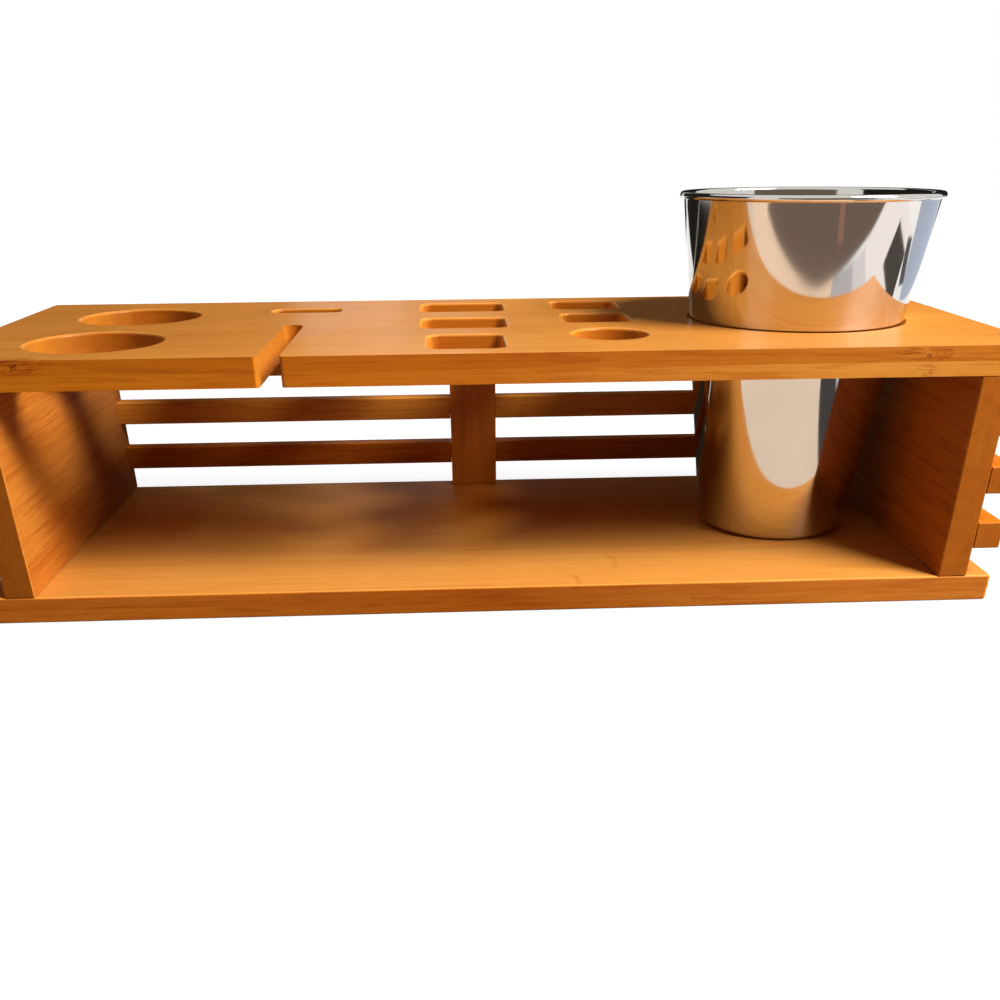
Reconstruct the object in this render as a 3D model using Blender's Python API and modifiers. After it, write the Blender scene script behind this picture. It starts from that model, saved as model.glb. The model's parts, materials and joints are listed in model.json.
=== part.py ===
"""Bar tool organizer in bamboo: a holed top board over a base board, held apart by two side panels,
a centre post and slats, with a polished shaker tin standing in its hole.

Metres, Z up. X runs along the width and Y towards the back. The origin is at the centre of the base
board's underside.
"""

import math

import bmesh
import bpy
from mathutils import Matrix, Vector

# Boards
BOARD_WIDTH = 0.383
BOARD_DEPTH = 0.145
BOARD_THICKNESS = 0.010
BOARD_CORNER_RADIUS = 0.0015
BOARD_EDGE_EASE = 0.0008
SHELF_HEIGHT = 0.0735

# Uprights and slats
PANEL_THICKNESS = 0.011
SIDE_SLAT_WIDTH = 0.010
BACK_SLAT_THICKNESS = 0.008
SLAT_HEIGHT = 0.010
SLAT_ROWS = ("lower", "middle", "upper")
POST_WIDTH = 0.0216
POST_X = -0.0038
STRIP_EDGE_EASE = 0.0006

# Joints between the pieces
SEAT_GAP = 0.0003
TENON_LENGTH = 0.004
TENON_SHOULDER = 0.002
DOWEL_SKIN = 0.003
PANEL_DOWEL_RADIUS = 0.003
PANEL_DOWEL_LENGTH = 0.020
PANEL_DOWEL_INSET = 0.040
POST_DOWEL_RADIUS = 0.002
POST_DOWEL_LENGTH = 0.016
SIDE_DOWEL_RADIUS = 0.002
SIDE_DOWEL_LENGTH = 0.010
SIDE_DOWEL_INSET = 0.022

# Shaker tin
TIN_HEIGHT = 0.128
TIN_FOOT_RADIUS = 0.0308
TIN_MOUTH_RADIUS = 0.0473
TIN_WALL = 0.0008
TIN_FOOT_EASE = 0.0028
TIN_FOOT_RING = 0.005
TIN_BASE_RECESS = 0.0012
TIN_BEAD_RADIUS = 0.0012
TIN_HOLE_CLEARANCE = 0.0012
TIN_HOLE_PANEL_MARGIN = 0.0027
TIN_BACK_OFFSET = 0.0014

# Round holes for jiggers and a muddler, and the wood left between them and the panel or the board's edges
JIGGER_HOLE_RADIUS = 0.024
JIGGER_HOLE_PANEL_MARGIN = 0.0042
JIGGER_HOLE_FRONT_MARGIN = 0.013
JIGGER_HOLE_BACK_MARGIN = 0.019
MUDDLER_HOLE_RADIUS = 0.014
MUDDLER_HOLE_FRONT_MARGIN = 0.0246

# Columns of slots across the top board
NOTCH_COLUMN_X = -0.0747
CENTRE_COLUMN_X = -0.0081
RIGHT_COLUMN_X = 0.0455

# Notch that is open at the front edge
NOTCH_WIDTH = 0.0075
NOTCH_LENGTH = 0.0715
NOTCH_MOUTH_RADIUS = 0.0010

# Slots that are closed all round: width, depth, and the wood left to the nearer edge or the offset from mid depth
SLOT_CORNER_RADIUS = 0.004
NOTCH_BACK_SLOT_WIDTH = 0.0285
NOTCH_BACK_SLOT_DEPTH = 0.012
NOTCH_BACK_SLOT_BACK_MARGIN = 0.025
CENTRE_FRONT_SLOT_WIDTH = 0.027
CENTRE_FRONT_SLOT_DEPTH = 0.031
CENTRE_FRONT_SLOT_FRONT_MARGIN = 0.011
CENTRE_MID_SLOT_WIDTH = 0.033
CENTRE_MID_SLOT_DEPTH = 0.027
CENTRE_MID_SLOT_OFFSET = -0.001
CENTRE_BACK_SLOT_WIDTH = 0.035
CENTRE_BACK_SLOT_DEPTH = 0.0265
CENTRE_BACK_SLOT_BACK_MARGIN = 0.014
RIGHT_MID_SLOT_WIDTH = 0.026
RIGHT_MID_SLOT_DEPTH = 0.0255
RIGHT_MID_SLOT_OFFSET = 0.0087
RIGHT_BACK_SLOT_WIDTH = 0.028
RIGHT_BACK_SLOT_DEPTH = 0.027
RIGHT_BACK_SLOT_BACK_MARGIN = 0.011

# Angles in degrees from which an edge is eased or stays sharp, and the distance within which points are merged
EASED_FROM_ANGLE = 60
SHARP_FROM_ANGLE = 30
WELD_DISTANCE = 0.00001

# Faces per turn
CORNER_STEPS = 3
HOLE_STEPS = 36
TIN_STEPS = 60
BEAD_STEPS = 8
DOWEL_STEPS = 12

# Sizes that follow from the ones above
HALF_WIDTH = BOARD_WIDTH / 2
HALF_DEPTH = BOARD_DEPTH / 2
SHELF_BOTTOM = BOARD_THICKNESS
SHELF_TOP = SHELF_BOTTOM + SHELF_HEIGHT
TOP_FACE = SHELF_TOP + BOARD_THICKNESS
PANEL_OUTER_X = HALF_WIDTH - SIDE_SLAT_WIDTH
PANEL_INNER_X = PANEL_OUTER_X - PANEL_THICKNESS
SLAT_SPACE = (SHELF_HEIGHT - len(SLAT_ROWS) * SLAT_HEIGHT) / (len(SLAT_ROWS) + 1)
BACK_ROW_Y = HALF_DEPTH - BACK_SLAT_THICKNESS / 2
TIN_FOOT_Z = SHELF_BOTTOM + SEAT_GAP
TIN_TAPER = (TIN_MOUTH_RADIUS - TIN_FOOT_RADIUS) / TIN_HEIGHT
TIN_HOLE_RADIUS = TIN_FOOT_RADIUS + TIN_TAPER * (TOP_FACE - TIN_FOOT_Z) + TIN_HOLE_CLEARANCE
TIN_X = PANEL_INNER_X - TIN_HOLE_PANEL_MARGIN - TIN_HOLE_RADIUS


def clear_scene():
    for item in list(bpy.data.objects):
        bpy.data.objects.remove(item, do_unlink=True)


def new_collection(name):
    collection = bpy.data.collections.new(name)
    bpy.context.scene.collection.children.link(collection)
    return collection


def new_material(name, colour, roughness, metallic=0.0):
    material = bpy.data.materials.new(name)
    material.use_nodes = True
    shader = material.node_tree.nodes["Principled BSDF"]
    shader.inputs["Base Color"].default_value = (*colour, 1.0)
    shader.inputs["Roughness"].default_value = roughness
    shader.inputs["Metallic"].default_value = metallic
    return material


clear_scene()
parts = new_collection("bar_tool_organizer")
cutters = new_collection("cutters")
board_bamboo = new_material("board_bamboo", (0.62, 0.29, 0.09), 0.42)
panel_bamboo = new_material("panel_bamboo", (0.56, 0.25, 0.08), 0.45)
slat_bamboo = new_material("slat_bamboo", (0.47, 0.19, 0.05), 0.48)
dowel_beech = new_material("dowel_beech", (0.70, 0.52, 0.33), 0.60)
polished_steel = new_material("polished_steel", (0.80, 0.79, 0.77), 0.12, 1.0)


def add_object(name, mesh, collection, material=None):
    item = bpy.data.objects.new(name, mesh)
    collection.objects.link(item)
    if material:
        mesh.materials.append(material)
    if collection is cutters:
        item.hide_render = True
        item.display_type = "WIRE"
    return item


def ease_edges(item, width):
    bevel = item.modifiers.new("eased_edges", "BEVEL")
    bevel.width = width
    bevel.segments = 2
    bevel.limit_method = "ANGLE"
    bevel.angle_limit = math.radians(EASED_FROM_ANGLE)


def combine(item, other, operation):
    boolean = item.modifiers.new(other.name, "BOOLEAN")
    boolean.operation = operation
    boolean.solver = "EXACT"
    boolean.object = other


def blocks(name, boxes, collection, material=None):
    """One object that holds a block for each pair of low and high corners."""
    shape = bmesh.new()
    for low, high in boxes:
        low, high = Vector(low), Vector(high)
        place = Matrix.Translation((low + high) / 2) @ Matrix.Diagonal((*(high - low), 1.0))
        bmesh.ops.create_cube(shape, size=1.0, matrix=place)
    mesh = bpy.data.meshes.new(name)
    shape.to_mesh(mesh)
    shape.free()
    return add_object(name, mesh, collection, material)


def grown(box, margin):
    low, high = (Vector(corner) for corner in box)
    margins = Vector((margin, margin, margin))
    return low - margins, high + margins


def rods(name, centres, radius, length, along_x, collection, material=None):
    """One object that holds a round rod at each centre, standing up or lying along X."""
    turn = Matrix.Rotation(math.radians(90), 4, "Y") if along_x else Matrix.Identity(4)
    shape = bmesh.new()
    for centre in centres:
        bmesh.ops.create_cone(
            shape,
            cap_ends=True,
            segments=DOWEL_STEPS,
            radius1=radius,
            radius2=radius,
            depth=length,
            matrix=Matrix.Translation(centre) @ turn,
        )
    mesh = bpy.data.meshes.new(name)
    shape.to_mesh(mesh)
    shape.free()
    mesh.shade_smooth()
    mesh.set_sharp_from_angle(angle=math.radians(SHARP_FROM_ANGLE))
    return add_object(name, mesh, collection, material)


def dowels(spots, radius, length, along_x, pieces):
    """Glued dowels of one size, each in its own node, and the blind holes for them in the pieces that they join."""
    for name, centre in spots.items():
        rods(name, [centre], radius, length, along_x, parts, dowel_beech)
    room_name = next(iter(spots)) + "_and_others_room"
    room = rods(room_name, spots.values(), radius + SEAT_GAP, length + 2 * SEAT_GAP, along_x, cutters)
    for piece in pieces:
        combine(piece, room, "DIFFERENCE")


def arc(centre_x, centre_y, radius, start, end, steps):
    """Points on an arc, from start to end in degrees, both included."""
    angles = [math.radians(start + (end - start) * step / steps) for step in range(steps + 1)]
    return [(centre_x + radius * math.cos(angle), centre_y + radius * math.sin(angle)) for angle in angles]


def round_outline(centre_x, centre_y, radius, steps):
    """A hole's outline runs clockwise, so that its edge is eased towards the hole."""
    return arc(centre_x, centre_y, radius, 0, -360, steps)[:-1]


def slot_outline(centre_x, centre_y, width, depth):
    across = width / 2 - SLOT_CORNER_RADIUS
    along = depth / 2 - SLOT_CORNER_RADIUS
    corners = ((across, along, 90), (across, -along, 0), (-across, -along, -90), (-across, along, -180))
    points = []
    for x, y, start in corners:
        points += arc(centre_x + x, centre_y + y, SLOT_CORNER_RADIUS, start, start - 90, CORNER_STEPS)
    return points


def board_outline(front_edge):
    """The board's outline, counter-clockwise from the front left corner, with extra points along its front."""
    across = HALF_WIDTH - BOARD_CORNER_RADIUS
    along = HALF_DEPTH - BOARD_CORNER_RADIUS
    points = arc(-across, -along, BOARD_CORNER_RADIUS, 180, 270, CORNER_STEPS)
    points += front_edge
    points += arc(across, -along, BOARD_CORNER_RADIUS, 270, 360, CORNER_STEPS)
    points += arc(across, along, BOARD_CORNER_RADIUS, 0, 90, CORNER_STEPS)
    points += arc(-across, along, BOARD_CORNER_RADIUS, 90, 180, CORNER_STEPS)
    return points


def notch_outline():
    """The open notch: round at the mouth's two corners and at its inner end."""
    half = NOTCH_WIDTH / 2
    mouth = NOTCH_MOUTH_RADIUS
    mouth_y = -HALF_DEPTH + mouth
    end_y = -HALF_DEPTH + NOTCH_LENGTH - half
    points = arc(NOTCH_COLUMN_X - half - mouth, mouth_y, mouth, 270, 360, CORNER_STEPS)
    points += arc(NOTCH_COLUMN_X, end_y, half, 180, 0, 2 * CORNER_STEPS)
    points += arc(NOTCH_COLUMN_X + half + mouth, mouth_y, mouth, 180, 270, CORNER_STEPS)
    return points


def board(name, outlines, bottom):
    """A flat board with eased edges, drawn as a filled 2D curve and then made a mesh."""
    curve = bpy.data.curves.new(name + "_outline", "CURVE")
    curve.dimensions = "2D"
    curve.fill_mode = "BOTH"
    curve.extrude = BOARD_THICKNESS / 2 - BOARD_EDGE_EASE
    curve.bevel_depth = BOARD_EDGE_EASE
    curve.bevel_resolution = 1
    curve.offset = -BOARD_EDGE_EASE
    for outline in outlines:
        spline = curve.splines.new("POLY")
        spline.points.add(len(outline) - 1)
        for point, (x, y) in zip(spline.points, outline):
            point.co = (x, y, 0.0, 1.0)
        spline.use_cyclic_u = True
    drawing = bpy.data.objects.new(name + "_outline", curve)
    drawing.location.z = bottom + BOARD_THICKNESS / 2
    parts.objects.link(drawing)
    bpy.context.view_layer.update()
    evaluated = drawing.evaluated_get(bpy.context.evaluated_depsgraph_get())
    mesh = bpy.data.meshes.new_from_object(evaluated)
    shape = bmesh.new()
    shape.from_mesh(mesh)
    bmesh.ops.remove_doubles(shape, verts=shape.verts, dist=WELD_DISTANCE)
    shape.to_mesh(mesh)
    shape.free()
    item = add_object(name, mesh, parts, board_bamboo)
    item.matrix_world = drawing.matrix_world
    bpy.data.objects.remove(drawing, do_unlink=True)
    mesh.shade_smooth()
    mesh.set_sharp_from_angle(angle=math.radians(SHARP_FROM_ANGLE))
    return item


def top_board():
    jigger_x = -PANEL_INNER_X + JIGGER_HOLE_PANEL_MARGIN + JIGGER_HOLE_RADIUS
    jigger_front_y = -HALF_DEPTH + JIGGER_HOLE_FRONT_MARGIN + JIGGER_HOLE_RADIUS
    jigger_back_y = HALF_DEPTH - JIGGER_HOLE_BACK_MARGIN - JIGGER_HOLE_RADIUS
    muddler_y = -HALF_DEPTH + MUDDLER_HOLE_FRONT_MARGIN + MUDDLER_HOLE_RADIUS
    outlines = [
        board_outline(notch_outline()),
        round_outline(jigger_x, jigger_front_y, JIGGER_HOLE_RADIUS, HOLE_STEPS),
        round_outline(jigger_x, jigger_back_y, JIGGER_HOLE_RADIUS, HOLE_STEPS),
        round_outline(RIGHT_COLUMN_X, muddler_y, MUDDLER_HOLE_RADIUS, HOLE_STEPS),
        round_outline(TIN_X, TIN_BACK_OFFSET, TIN_HOLE_RADIUS, TIN_STEPS),
        slot_outline(
            NOTCH_COLUMN_X,
            HALF_DEPTH - NOTCH_BACK_SLOT_BACK_MARGIN - NOTCH_BACK_SLOT_DEPTH / 2,
            NOTCH_BACK_SLOT_WIDTH,
            NOTCH_BACK_SLOT_DEPTH,
        ),
        slot_outline(
            CENTRE_COLUMN_X,
            -HALF_DEPTH + CENTRE_FRONT_SLOT_FRONT_MARGIN + CENTRE_FRONT_SLOT_DEPTH / 2,
            CENTRE_FRONT_SLOT_WIDTH,
            CENTRE_FRONT_SLOT_DEPTH,
        ),
        slot_outline(CENTRE_COLUMN_X, CENTRE_MID_SLOT_OFFSET, CENTRE_MID_SLOT_WIDTH, CENTRE_MID_SLOT_DEPTH),
        slot_outline(
            CENTRE_COLUMN_X,
            HALF_DEPTH - CENTRE_BACK_SLOT_BACK_MARGIN - CENTRE_BACK_SLOT_DEPTH / 2,
            CENTRE_BACK_SLOT_WIDTH,
            CENTRE_BACK_SLOT_DEPTH,
        ),
        slot_outline(RIGHT_COLUMN_X, RIGHT_MID_SLOT_OFFSET, RIGHT_MID_SLOT_WIDTH, RIGHT_MID_SLOT_DEPTH),
        slot_outline(
            RIGHT_COLUMN_X,
            HALF_DEPTH - RIGHT_BACK_SLOT_BACK_MARGIN - RIGHT_BACK_SLOT_DEPTH / 2,
            RIGHT_BACK_SLOT_WIDTH,
            RIGHT_BACK_SLOT_DEPTH,
        ),
    ]
    return board("top_board", outlines, SHELF_TOP)


def upright(name, low_x, high_x, low_y, high_y):
    """A piece that stands between the two boards."""
    low = (low_x, low_y, SHELF_BOTTOM + SEAT_GAP)
    high = (high_x, high_y, SHELF_TOP - SEAT_GAP)
    item = blocks(name, [(low, high)], parts, panel_bamboo)
    ease_edges(item, STRIP_EDGE_EASE)
    return item


def slat_bottom(row):
    return SHELF_BOTTOM + SLAT_SPACE + row * (SLAT_SPACE + SLAT_HEIGHT)


def side_slat(side, row):
    """A strip on a panel's outer face, flush with the ends of the boards. side is -1 on the left and 1 on the right."""
    inner = side * (PANEL_OUTER_X + SEAT_GAP)
    outer = side * HALF_WIDTH
    low = (min(inner, outer), -HALF_DEPTH, slat_bottom(row))
    high = (max(inner, outer), HALF_DEPTH, slat_bottom(row) + SLAT_HEIGHT)
    hand = "left" if side < 0 else "right"
    item = blocks(f"{hand}_side_slat_{SLAT_ROWS[row]}", [(low, high)], parts, slat_bamboo)
    ease_edges(item, STRIP_EDGE_EASE)
    return item


def back_slat(bay, row, start_x, end_x, pieces):
    """A slat between a panel and the post, with a stub tenon at each end and the mortises for them."""
    body_low = Vector((start_x + SEAT_GAP, HALF_DEPTH - BACK_SLAT_THICKNESS, slat_bottom(row)))
    body_high = Vector((end_x - SEAT_GAP, HALF_DEPTH, slat_bottom(row) + SLAT_HEIGHT))
    shoulder = Vector((-TENON_LENGTH, TENON_SHOULDER, TENON_SHOULDER))
    tongue = (body_low + shoulder, body_high - shoulder)
    item = blocks(f"back_slat_{bay}_{SLAT_ROWS[row]}", [(body_low, body_high)], parts, slat_bamboo)
    ease_edges(item, STRIP_EDGE_EASE)
    combine(item, blocks(item.name + "_tongue", [tongue], cutters), "UNION")
    room = blocks(item.name + "_mortises", [grown(tongue, SEAT_GAP)], cutters)
    for piece in pieces:
        combine(piece, room, "DIFFERENCE")


def tin_profile():
    """The tin's section, from the middle of its inner floor up over the rolled bead and down to its underside."""
    inner_mouth = TIN_MOUTH_RADIUS - TIN_WALL
    inner_ease = TIN_FOOT_EASE - TIN_WALL
    ring_inner = TIN_FOOT_RADIUS - TIN_FOOT_EASE - TIN_FOOT_RING
    recess_run = 2 * TIN_BASE_RECESS
    top = TIN_FOOT_Z + TIN_HEIGHT
    bead_x = inner_mouth + TIN_BEAD_RADIUS
    bead_end = -180 + math.degrees(math.acos(1 - TIN_WALL / TIN_BEAD_RADIUS))
    corner = (TIN_FOOT_RADIUS - TIN_FOOT_EASE, TIN_FOOT_Z + TIN_FOOT_EASE)
    points = [
        (0.0, TIN_FOOT_Z + TIN_BASE_RECESS + TIN_WALL),
        (ring_inner - recess_run, TIN_FOOT_Z + TIN_BASE_RECESS + TIN_WALL),
        (ring_inner, TIN_FOOT_Z + TIN_WALL),
    ]
    points += arc(*corner, inner_ease, -90, 0, CORNER_STEPS)
    points += arc(bead_x, top - TIN_BEAD_RADIUS, TIN_BEAD_RADIUS, 180, bead_end, BEAD_STEPS)
    points += arc(*corner, TIN_FOOT_EASE, 0, -90, CORNER_STEPS)
    points += [
        (ring_inner, TIN_FOOT_Z),
        (ring_inner - recess_run, TIN_FOOT_Z + TIN_BASE_RECESS),
        (0.0, TIN_FOOT_Z + TIN_BASE_RECESS),
    ]
    return points


def shaker_tin():
    """A turned shell, with its origin on the line that it is lifted along."""
    shape = bmesh.new()
    verts = [shape.verts.new((radius, 0.0, height)) for radius, height in tin_profile()]
    for first, second in zip(verts, verts[1:]):
        shape.edges.new((first, second))
    mesh = bpy.data.meshes.new("shaker_tin")
    shape.to_mesh(mesh)
    shape.free()
    item = add_object("shaker_tin", mesh, parts, polished_steel)
    item.location = (TIN_X, TIN_BACK_OFFSET, 0.0)
    screw = item.modifiers.new("turned", "SCREW")
    screw.steps = TIN_STEPS
    screw.render_steps = TIN_STEPS
    screw.use_merge_vertices = True
    screw.merge_threshold = WELD_DISTANCE
    screw.use_smooth_shade = True


def build():
    base = board("base_board", [board_outline([])], 0.0)
    top = top_board()
    left_panel = upright("left_side_panel", -PANEL_OUTER_X, -PANEL_INNER_X, -HALF_DEPTH, HALF_DEPTH)
    right_panel = upright("right_side_panel", PANEL_INNER_X, PANEL_OUTER_X, -HALF_DEPTH, HALF_DEPTH)
    post_left = POST_X - POST_WIDTH / 2
    post_right = POST_X + POST_WIDTH / 2
    post = upright("centre_post", post_left, post_right, HALF_DEPTH - BACK_SLAT_THICKNESS, HALF_DEPTH)

    for row in range(len(SLAT_ROWS)):
        back_slat("left", row, -PANEL_INNER_X, post_left, (left_panel, post))
        back_slat("right", row, post_right, PANEL_INNER_X, (post, right_panel))

    ends = {"front": -1, "back": 1}
    for side, panel, hand in ((-1, left_panel, "left"), (1, right_panel, "right")):
        slats = [side_slat(side, row) for row in range(len(SLAT_ROWS))]
        spots = {}
        for row, row_name in enumerate(SLAT_ROWS):
            for end, end_side in ends.items():
                y = end_side * (HALF_DEPTH - SIDE_DOWEL_INSET)
                z = slat_bottom(row) + SLAT_HEIGHT / 2
                spots[f"side_slat_dowel_{hand}_{row_name}_{end}"] = (side * PANEL_OUTER_X, y, z)
        dowels(spots, SIDE_DOWEL_RADIUS, SIDE_DOWEL_LENGTH, True, (panel, *slats))

    low_end = DOWEL_SKIN + SEAT_GAP
    high_end = TOP_FACE - DOWEL_SKIN - SEAT_GAP
    panel_mid_x = (PANEL_INNER_X + PANEL_OUTER_X) / 2
    levels = {
        "base": (base, low_end + PANEL_DOWEL_LENGTH / 2, low_end + POST_DOWEL_LENGTH / 2),
        "top": (top, high_end - PANEL_DOWEL_LENGTH / 2, high_end - POST_DOWEL_LENGTH / 2),
    }
    for level, (piece, panel_z, post_z) in levels.items():
        spots = {}
        for hand, side in (("left", -1), ("right", 1)):
            for end, end_side in ends.items():
                y = end_side * (HALF_DEPTH - PANEL_DOWEL_INSET)
                spots[f"panel_dowel_{level}_{hand}_{end}"] = (side * panel_mid_x, y, panel_z)
        joined = (piece, left_panel, right_panel)
        dowels(spots, PANEL_DOWEL_RADIUS, PANEL_DOWEL_LENGTH, False, joined)
        spots = {f"post_dowel_{level}": (POST_X, BACK_ROW_Y, post_z)}
        dowels(spots, POST_DOWEL_RADIUS, POST_DOWEL_LENGTH, False, (piece, post))

    shaker_tin()


build()
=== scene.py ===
"""Looks of the bamboo bar tool organizer: fine wood and steel pieces, their finishes, camera and light.

Metres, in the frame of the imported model: X along the width, Y to the back, Z up.
"""

import json
import math

import bmesh
import bpy
from mathutils import Matrix, Vector


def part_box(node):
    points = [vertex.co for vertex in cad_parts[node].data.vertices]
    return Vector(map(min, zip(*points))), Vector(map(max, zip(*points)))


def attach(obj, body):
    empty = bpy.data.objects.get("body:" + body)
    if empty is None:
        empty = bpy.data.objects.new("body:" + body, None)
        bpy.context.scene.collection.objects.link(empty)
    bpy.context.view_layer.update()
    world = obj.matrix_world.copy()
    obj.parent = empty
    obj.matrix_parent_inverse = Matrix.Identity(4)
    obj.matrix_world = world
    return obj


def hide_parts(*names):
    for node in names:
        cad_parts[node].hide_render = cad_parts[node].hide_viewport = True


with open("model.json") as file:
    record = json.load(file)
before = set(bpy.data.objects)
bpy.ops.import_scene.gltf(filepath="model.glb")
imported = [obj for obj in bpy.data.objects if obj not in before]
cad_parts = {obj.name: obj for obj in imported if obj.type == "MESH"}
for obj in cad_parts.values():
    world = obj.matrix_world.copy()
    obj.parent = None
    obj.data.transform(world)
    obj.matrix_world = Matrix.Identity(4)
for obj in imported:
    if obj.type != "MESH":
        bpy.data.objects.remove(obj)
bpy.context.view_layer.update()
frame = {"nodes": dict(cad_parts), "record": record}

# Wood, and the joints between its pieces
BOARD_CORNER_RADIUS = 0.0015
BOARD_EDGE_EASE = 0.0008
RIM_EASE = 0.0012
STRIP_EDGE_EASE = 0.0006
SEAT_GAP = 0.0003
SHOULDER_GAP = 0.00005
TENON_LENGTH = 0.004
TENON_SHOULDER = 0.002

# Cut-outs of the top board; each closed slot has its width and depth
TIN_HOLE_RADIUS = 0.042725
JIGGER_HOLE_RADIUS = 0.024
MUDDLER_HOLE_RADIUS = 0.014
NOTCH_WIDTH = 0.0075
NOTCH_LENGTH = 0.0715
NOTCH_MOUTH_RADIUS = 0.0015
SLOT_CORNER_RADIUS = 0.004
SLOT_SIZES = {
    "notch_back_slot": (0.0285, 0.012),
    "centre_front_slot": (0.027, 0.031),
    "centre_mid_slot": (0.033, 0.027),
    "centre_back_slot": (0.035, 0.0265),
    "right_mid_slot": (0.026, 0.0255),
    "right_back_slot": (0.028, 0.027),
}
ROUND_HOLE_RADII = {
    "jigger_hole_front": JIGGER_HOLE_RADIUS,
    "jigger_hole_back": JIGGER_HOLE_RADIUS,
    "muddler_hole": MUDDLER_HOLE_RADIUS,
}

# The notch's round end: a hair under half its width, so that the two corners don't meet
NOTCH_END_RADIUS = NOTCH_WIDTH / 2 * 0.999

# Shaker tin
TIN_FOOT_RADIUS = 0.0308
TIN_MOUTH_RADIUS = 0.0473
TIN_WALL = 0.0008
TIN_FOOT_EASE = 0.0028
TIN_FOOT_RING = 0.005
TIN_BASE_RECESS = 0.0012
TIN_BEAD_RADIUS = 0.0012

# Faces
HOLE_SIDES = 96
TIN_SIDES = 160
DOWEL_SIDES = 32
WALL_RINGS = 24
EASE_SEGMENTS = 3
CORNER_SEGMENTS = 8
SMOOTH_UP_TO = math.radians(40)
EASED_FROM = math.radians(55)

# How near a point counts as on a face, and as beside a cut-out or the outline
TOUCHING = 1e-6
BESIDE = 0.002

# Wear, and a painted highlight that goes with it, on an eased edge: the lean at which it starts, the lean
# over which it grows, and what counts as flat
WEAR_FROM = 0.04
WEAR_OVER = 0.09
FLAT_UP_TO = 0.01

# Bamboo: its strips, the plies of the slats, and the space between two nodes of a stalk. The side slats
# share one pattern, in which a ply is thicker than a slat and thinner than the organizer is wide, so the two
# sides differ.
BOARD_STRIP_WIDTH = 0.0207
PANEL_STRIP_WIDTH = 0.0212
SLAT_STRIP_WIDTH = 0.02
SIDE_SLAT_PLY = 0.2
BACK_SLAT_PLY = 0.02
STALK_NODE_SPACING = 0.23

# Marks in the bamboo: how ragged a stalk's node is, how far its ring and its halo reach, and how far the
# pattern of one strip may be moved from that of the next
NODE_RAGGEDNESS = 0.006
NODE_RING_REACH = 0.0022
NODE_HALO_REACH = (0.002, 0.009)
LARGEST_SHIFT = 9.0

# Where stains and painted shade lie on a piece: the depth under an outer face that counts as that face, the
# shares of its depth between which the painted shade and sheen of the back half begin, the shares of its
# length over which the left end fades out and the upper ply fades in, and the three places along it that have
# a tone of their own
OUTER_SKIN = (0.0012, 0.002)
BACK_SHADE_BEGINS = (0.3, 0.72)
LEFT_END_FADES = (0.18, 0.45)
UPPER_PLY_GROWS = (0.3, 0.88)
TONE_PLACES = (0.15, 0.5, 0.85)

# Varnish, and the depth of the relief in each finish
VARNISH_ROUGHNESS = (0.36, 0.46)
VARNISH_SPECULAR = 0.07
COAT_ROUGHNESS = 0.28
BAMBOO_RELIEF = 0.00006
BEECH_RELIEF = 0.00008
STEEL_RELIEF = 0.0003

# Stains that masks lay over the bamboo, some of them painted shade or a painted highlight, as noted at each
END_STAIN = (0.68, 0.66, 0.62)
FIGURE_STAIN = (0.82, 0.68, 0.5)
# Painted shade in the cut-outs of the boards: darker long walls, and end walls a little darker
LONG_WALL_SHADE = (0.53, 0.36, 0.13)
END_WALL_SHADE = (0.83, 0.73, 0.48)
# Painted shade on the undersides of the boards
UNDERSIDE_SHADE = (0.6, 0.5, 0.4)
LINE_STAIN = (0.34, 0.24, 0.2)
HALO_STAIN = (1.05, 1.12, 1.2)
# Paler wear on the eased edges, partly real wear and partly a painted highlight
WEAR_AND_HIGHLIGHT_STAIN = (1.0, 1.08, 1.25)
SCAR_STREAK_STAIN = (0.6, 0.42, 0.3)
SCAR_RIM_STAIN = (0.84, 0.72, 0.5)
SCAR_HEART_STAIN = (1.03, 1.08, 1.14)

# Beech of the dowels and steel of the tin
BEECH_DARK = (0.52, 0.33, 0.18)
BEECH_LIGHT = (0.74, 0.55, 0.36)
BEECH_FLECKS = (0.3, 0.16, 0.08)
BEECH_ROUGHNESS = (0.6, 0.75)
STEEL_CLEAN = (0.62, 0.60, 0.56)
STEEL_SMUDGED = (0.55, 0.53, 0.49)
STEEL_SPECKS = (0.5, 0.49, 0.46)
STEEL_ROUGHNESS = (0.035, 0.08)

# Looks of each piece of bamboo. Light and dark are the colours of its fibres, ends is the stain of its ends,
# and figure is the strength of the figure on its flat faces. Its back tones are painted shade, and on some
# pieces a painted sheen, over its back half, from left to right. The boards have further looks: tones of the
# front and back edges from left to right, partly of the side grain and partly painted light and shade, of the
# upper ply there and of the left end, a sheen, and the scars of a stalk's nodes, each with its centre, its
# reach and its strength.
BASE_BOARD_LOOKS = {
    "seed": 3.0,
    "light": (0.98, 0.45, 0.09),
    "dark": (0.80, 0.30, 0.045),
    "ends": END_STAIN,
    "figure": 0.3,
    # Painted sheen at the left of the back half, painted shade in the middle and at the right
    "back_shade_and_sheen": ((1.0, 1.15, 1.3), (0.74, 0.58, 0.3), (0.70, 0.64, 0.34)),
    # Edge tones: partly the darker side grain, partly painted light and shade from left to right
    "edge_tones_light_and_shade": ((0.74, 0.47, 0.19), (0.61, 0.345, 0.075), (0.88, 0.64, 0.39)),
    "upper_ply": (0.95, 0.9, 0.85),
    "left_tone": (1.0, 1.0, 1.0),
    "sheen": 0.04,
    "scars": (
        ((0.0455, -0.049, 0.01), (0.007, 0.0125, 0.004), 0.12),
        ((0.0295, -0.068, 0.01), (0.005, 0.0085, 0.004), 0.12),
    ),
}
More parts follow.
